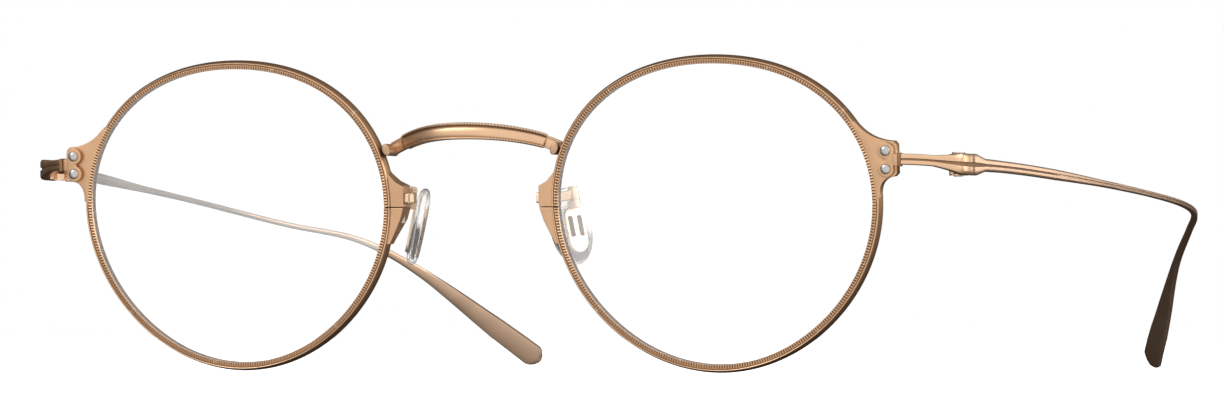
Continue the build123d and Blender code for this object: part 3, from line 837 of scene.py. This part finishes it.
class OBJECT_OT_glasses_temples(bpy.types.Operator):
    """Make both temples, grooved behind the hinge and flattened at the tips"""
    bl_idname = "glasses.temples"
    bl_label = "Temples"

    def execute(self, context):
        deep = context.scene.glasses_sizes.groove_depth
        path = SmoothPath(
            [HINGE @ Vector((ARM_MIDDLE, -1.27 * MM, 0)), at(73.2, 41.6, 26.9), at(75.7, 71.4, 24.9),
             at(74.6, 90.8, 22.8), at(71.2, 100.0, 21.3), at(67.2, 110.2, 19.8), at(63.2, 118.4, 16.7),
             at(55.7, 134.0, 7.5), at(50.6, 144.5, 0.95)],
            HINGE.col[1].xyz, (-0.35, 0.8, -0.47))
        length = path.length / MM
        tip = [(1.8, 3.6, 0.95), (1.3, 3.45, 0.95), (1.0, 3.2, 0.95), (0.36, 2.16, 0.86), (0.0, 0.9, 0.76)]
        stations = [(distance / length, height * MM, thick * MM, twist, groove * deep)
                    for distance, height, thick, twist, groove in TEMPLE_STATIONS]
        stations += [(1 - back / length, height * MM, thick * MM, TIP_TWIST, 0)
                     for back, height, thick in tip]
        mesh_data = new_shape()
        drawn_bar(mesh_data, path, stations, grooved_section, 420)
        finished_pair(mesh_data, "temple_bar", "temple_arm_{}", "temple", ["temple_gold"])
        return {"FINISHED"}


# -------------------- bridge
# (across, up, bead, groove) round the section; the front face comes first, from its top edge down:
# a milled edge, a dark groove, a broad convex face and a second milled edge
BRIDGE_SECTION = (
    (-0.30, 0.50, 1, 0), (-0.44, 0.47, 1, 0), (-0.48, 0.42, 1, 0), (-0.46, 0.37, 0.5, 0),
    (-0.41, 0.34, 0, 1), (-0.39, 0.30, 0, 1), (-0.40, 0.25, 0, 0.8), (-0.44, 0.20, 0, 0.2),
    (-0.48, 0.11, 0, 0), (-0.50, 0.0, 0, 0), (-0.51, -0.10, 0, 0), (-0.50, -0.20, 0, 0),
    (-0.46, -0.29, 0, 0), (-0.42, -0.35, 0, 0.3), (-0.45, -0.39, 0.5, 0), (-0.47, -0.43, 1, 0),
    (-0.43, -0.47, 1, 0), (-0.30, -0.50, 1, 0), (0.0, -0.50, 0, 0), (0.30, -0.50, 0, 0),
    (0.44, -0.44, 0, 0), (0.50, -0.3, 0, 0), (0.50, -0.1, 0, 0), (0.50, 0.1, 0, 0),
    (0.50, 0.3, 0, 0), (0.44, 0.44, 0, 0), (0.30, 0.50, 0, 0), (0.0, 0.50, 0, 0),
)
BRIDGE_BEADS = 66
BRIDGE_BEAD_HEIGHT = 0.07 * MM
BRIDGE_GROOVE_DEPTH = 0.1 * MM


def bridge_section(sizes, share):
    """The bridge's section; its milled edges and groove fade out on the plain stubs at its ends."""
    height, thickness, twist, worked = sizes
    bead = worked * BRIDGE_BEAD_HEIGHT * (0.5 + 0.5 * cos(2 * pi * BRIDGE_BEADS * share))
    points = []
    for across, up, edge, groove in BRIDGE_SECTION:
        forward = across * thickness - bead * edge * 0.7 + worked * groove * BRIDGE_GROOVE_DEPTH
        gap = worked * edge * 0.7 * (1 - bead / BRIDGE_BEAD_HEIGHT)
        rise = bead * edge * 0.5 if up > 0 else -bead * edge * 0.5
        points.append((forward, up * height + rise, max(gap, 0.85 * groove * worked)))
    return points


class OBJECT_OT_glasses_bridge(bpy.types.Operator):
    """Make the arched bridge and its two posts"""
    bl_idname = "glasses.bridge"
    bl_label = "Bridge"

    def execute(self, context):
        half = [(0.0, 1.7, 1.2, 0), (0.07, 1.7, 1.2, 0), (0.085, 2.0, 1.5, 1), (0.2, 2.1, 1.5, 1),
                (0.35, 2.25, 1.5, 1)]
        shape = half + [(0.5, 2.3, 1.5, 1)] + [(1 - share, *rest) for share, *rest in reversed(half)]
        stations = [(share, height * MM, thick * MM, 0, worked) for share, height, thick, worked in shape]
        arch = [at(12.3, 2.75, 30.75), at(10.4, 2.3, 31.55), at(8.5, 1.25, 32.1), at(4.5, -0.75, 32.75)]
        mirrored = [Vector((-point.x, point.y, point.z)) for point in arch]
        path = SmoothPath(mirrored + [at(0, -1.25, 32.95)] + arch[::-1])
        mesh_data = new_shape()
        drawn_bar(mesh_data, path, stations, bridge_section, BRIDGE_BEADS * 6)
        turns = [2 * pi * i / 24 for i in range(24)]
        oval = [Vector((0.58 * MM * cos(turn), 0.86 * MM * sin(turn), 0)) for turn in turns]
        for side in SIDES.values():
            lean = Matrix.Rotation(radians(-20 * side), 3, "Z")
            place = plane(at(12.52 * side, 3.35, 30.5), Vector((1, 0, 0)), Vector((0, -1, 0)))
            # painted shade: the posts, whose oval ends face forwards, are darkened towards the brown
            slab(mesh_data, [lean @ point for point in oval], 0.0, 3.25 * MM, place, 0.18 * MM, 0, 0.35)
        finished(mesh_data, "bridge_arch", "front", ["bridge"],
                 [bpy.data.materials["frame_gold"]])
        return {"FINISHED"}


# -------------------- nose pads
class OBJECT_OT_glasses_nose_pads(bpy.types.Operator):
    """Make both soft nose pads, crowned towards the nose"""
    bl_idname = "glasses.nose_pads"
    bl_label = "Nose pads"

    def execute(self, context):
        sizes = context.scene.glasses_sizes
        half_width, half_height = 3.62 * MM, 5.38 * MM
        mesh_data = new_shape()
        ball = bmesh.ops.create_uvsphere(mesh_data, u_segments=64, v_segments=32, radius=1.0)["verts"]
        for vert in ball:
            across = hypot(vert.co.x, vert.co.y)
            spread = sin(0.5 * pi * min(across, 1)) ** 0.8
            turn = atan2(vert.co.y, vert.co.x)
            fuller = 1 - 0.06 * sin(turn)
            crown = sizes.pad_thickness / 2 * max(0.0, 1 - spread**5) ** 0.42
            lift = crown if vert.co.z > 0 else -crown
            vert.co = (half_width * spread * cos(turn) * fuller, half_height * spread * sin(turn), lift)
        place = PAD @ Matrix.Translation((0, 0, -0.1 * MM))
        bmesh.ops.transform(mesh_data, matrix=place, verts=ball)
        # the dark beds of the two slots in the metal plate: painted shadow, dark sheets put where the slots'
        # floors lie in shade
        half_shadow_width, half_length = 0.43, 1.43
        for middle in (-0.85, 0.85):
            slot_shadow = [Vector((middle + across * half_shadow_width, -0.2 + up * half_length, 0)) * MM for across, up in (
                (-1, -1), (1, -1), (1, 1), (-1, 1))]
            slab(mesh_data, slot_shadow, -1.16 * MM, -0.9 * MM, PAD, 0.05 * MM, 1, 1.0)
        finished_pair(
            mesh_data, "soft_pad", "pad_unit_{}", "nose_pad", ["pad_silicone", "frame_gold"], 60)
        return {"FINISHED"}


class OBJECT_OT_glasses_small_parts(bpy.types.Operator):
    """Give the engineered hinge leaves, screws, pad arms and pad cores their finishes"""
    bl_idname = "glasses.small_parts"
    bl_label = "Small parts"

    def execute(self, context):
        finishes = {
            "rim_screw": "screw_steel", "hinge_screw": "screw_steel", "hinge_front_leaf": "frame_gold",
            "hinge_rear_leaf": "frame_gold", "pad_arm": "pad_gold", "pad_core": "pad_gold",
        }
        for part, finish in finishes.items():
            for name in SIDES:
                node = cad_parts[f"{part}_{name}"]
                node.data.materials.clear()
                node.data.materials.append(bpy.data.materials[finish])
        return {"FINISHED"}


# -------------------- studio
FLOOR_HALF_WIDTH = 2.2
# (share of the way from the bright side to the dark one, grey)
WORLD_STEPS = ((0.3, 0.95), (0.5, 0.42), (0.68, 0.2), (0.82, 0.09))
WORLD_STRENGTH = 1.32          # for light on the object; the backdrop the camera sees is plain white
CAMERA_AZIMUTH = radians(23.5)
CAMERA_ELEVATION = radians(-0.7)
CAMERA_ROLL = radians(0.15)
CAMERA_LENS = 213.6            # focal length in millimetres
CAMERA_DISTANCE = 0.992
CAMERA_AIM_RIGHT = 0.01975     # how far the view is aimed aside from its target
CAMERA_AIM_UP = 0.00412


def softbox(name, place, target, size, power, tone=(1, 1, 1)):
    """A square area light that faces its target."""
    light = bpy.data.lights.new(name, "AREA")
    light.shape = "RECTANGLE"
    light.size, light.size_y = size
    light.energy = power
    light.color = tone
    lamp = linked(name, light)
    lamp.location = place
    lamp.rotation_euler = (Vector(target) - Vector(place)).to_track_quat("-Z", "Y").to_euler()
    return lamp


class OBJECT_OT_glasses_stage(bpy.types.Operator):
    """Set the pale floor, the soft studio light and the camera"""
    bl_idname = "glasses.stage"
    bl_label = "Stage"

    def execute(self, context):
        scene = context.scene
        mesh_data = bmesh.new()
        bmesh.ops.create_grid(mesh_data, x_segments=8, y_segments=8, size=FLOOR_HALF_WIDTH)
        mesh = bpy.data.meshes.new("studio_floor")
        mesh_data.to_mesh(mesh)
        mesh_data.free()
        mesh.materials.append(bpy.data.materials["studio_floor"])
        floor = linked("studio_floor", mesh)
        floor.visible_glossy = False

        world = bpy.data.worlds.new("studio")
        scene.world = world
        world.use_nodes = True
        tree = world.node_tree
        background = tree.nodes["Background"]
        direction = tree.nodes.new("ShaderNodeTexCoord")
        apart = tree.nodes.new("ShaderNodeSeparateXYZ")
        tree.links.new(direction.outputs["Generated"], apart.inputs["Vector"])
        wall = tree.nodes.new("ShaderNodeValToRGB")
        ramp = wall.color_ramp.elements
        ramp[0].position, ramp[0].color = 0.0, (1.0, 0.99, 0.98, 1)
        ramp[1].position, ramp[1].color = 1.0, (0.035, 0.031, 0.028, 1)
        for position, grey in WORLD_STEPS:
            ramp.new(position).color = (grey, grey * 0.985, grey * 0.97, 1)
        # bright in front, above and on the camera's right, darkest behind, below and on its left
        sideways = maths(tree, "SUBTRACT", maths(tree, "MULTIPLY", apart.outputs["Y"], 0.86),
                         maths(tree, "MULTIPLY", apart.outputs["X"], 0.5))
        slanted = maths(tree, "SUBTRACT", sideways, maths(tree, "MULTIPLY", apart.outputs["Z"], 0.35))
        fronting = maths(tree, "MULTIPLY_ADD", slanted, 0.5)
        tree.links.new(fronting, wall.inputs["Fac"])
        seen = tree.nodes.new("ShaderNodeLightPath")
        tone = mixed(tree, seen.outputs["Is Camera Ray"], wall.outputs["Color"], (1.0, 1.0, 1.0, 1))
        tree.links.new(tone, background.inputs["Color"])
        plainer = maths(tree, "MULTIPLY", seen.outputs["Is Camera Ray"], 1 - WORLD_STRENGTH)
        strength = maths(tree, "ADD", plainer, WORLD_STRENGTH)
        tree.links.new(strength, background.inputs["Strength"])

        centre = (0, -0.03, 0.02)
        softbox("key", (-0.6, -0.8, 0.7), centre, (0.6, 0.6), 3.6)
        softbox("fill", (0.95, 0.28, 0.33), centre, (0.35, 0.35), 1.8)
        softbox("back_side", (0.75, 0.75, 0.12), centre, (0.3, 0.3), 1.0)
        wash = softbox("floor_wash", (0, 0, 3.0), (0, 0, 0), (6.0, 6.0), 190.0)
        wash.visible_glossy = False

        # the target is on the middle of the front, a little lower than the lens centres
        target = Vector((0, FRONT_DEPTH, 18.56 * MM))
        level = cos(CAMERA_ELEVATION)
        back = Vector((sin(CAMERA_AZIMUTH) * level, -cos(CAMERA_AZIMUTH) * level, sin(CAMERA_ELEVATION)))
        camera_data = bpy.data.cameras.new("camera")
        camera_data.sensor_width = 36.0
        camera_data.lens = CAMERA_LENS
        camera_data.clip_start = 0.05
        camera = linked("camera", camera_data)
        camera.location = target + back * CAMERA_DISTANCE
        ahead = -back
        right = ahead.cross(Vector((0, 0, 1))).normalized()
        aim = ahead + right * CAMERA_AIM_RIGHT + right.cross(ahead) * CAMERA_AIM_UP
        camera.rotation_euler = (
            aim.to_track_quat("-Z", "Y").to_matrix() @ Matrix.Rotation(CAMERA_ROLL, 3, "Z")).to_euler()
        scene.camera = camera
        scene.view_settings.view_transform = "Standard"
        return {"FINISHED"}


class VIEW3D_PT_glasses(bpy.types.Panel):
    """Lists the steps and the sizes and colours they use"""
    bl_label = "Glasses"
    bl_space_type = "VIEW_3D"
    bl_region_type = "UI"
    bl_category = "Glasses"

    def draw(self, context):
        for group in (context.scene.glasses_sizes, context.scene.glasses_colours):
            box = self.layout.box()
            for label in group.__annotations__:
                box.prop(group, label)
        for step in STEPS:
            self.layout.operator(step.bl_idname)


STEPS = (
    OBJECT_OT_glasses_materials, OBJECT_OT_glasses_stage, OBJECT_OT_glasses_rims, OBJECT_OT_glasses_lenses,
    OBJECT_OT_glasses_closing_blocks, OBJECT_OT_glasses_end_pieces, OBJECT_OT_glasses_rivets,
    OBJECT_OT_glasses_temples, OBJECT_OT_glasses_bridge, OBJECT_OT_glasses_nose_pads,
    OBJECT_OT_glasses_small_parts,
)
CLASSES = (GlassesSizes, GlassesColours, *STEPS, VIEW3D_PT_glasses)


def register():
    for cls in CLASSES:
        bpy.utils.register_class(cls)
    bpy.types.Scene.glasses_sizes = PointerProperty(type=GlassesSizes)
    bpy.types.Scene.glasses_colours = PointerProperty(type=GlassesColours)


def unregister():
    del bpy.types.Scene.glasses_colours
    del bpy.types.Scene.glasses_sizes
    for cls in reversed(CLASSES):
        bpy.utils.unregister_class(cls)


def main():
    register()
    for step in STEPS:
        family, action = step.bl_idname.split(".")
        getattr(getattr(bpy.ops, family), action)()


if __name__ == "__main__":
    main()
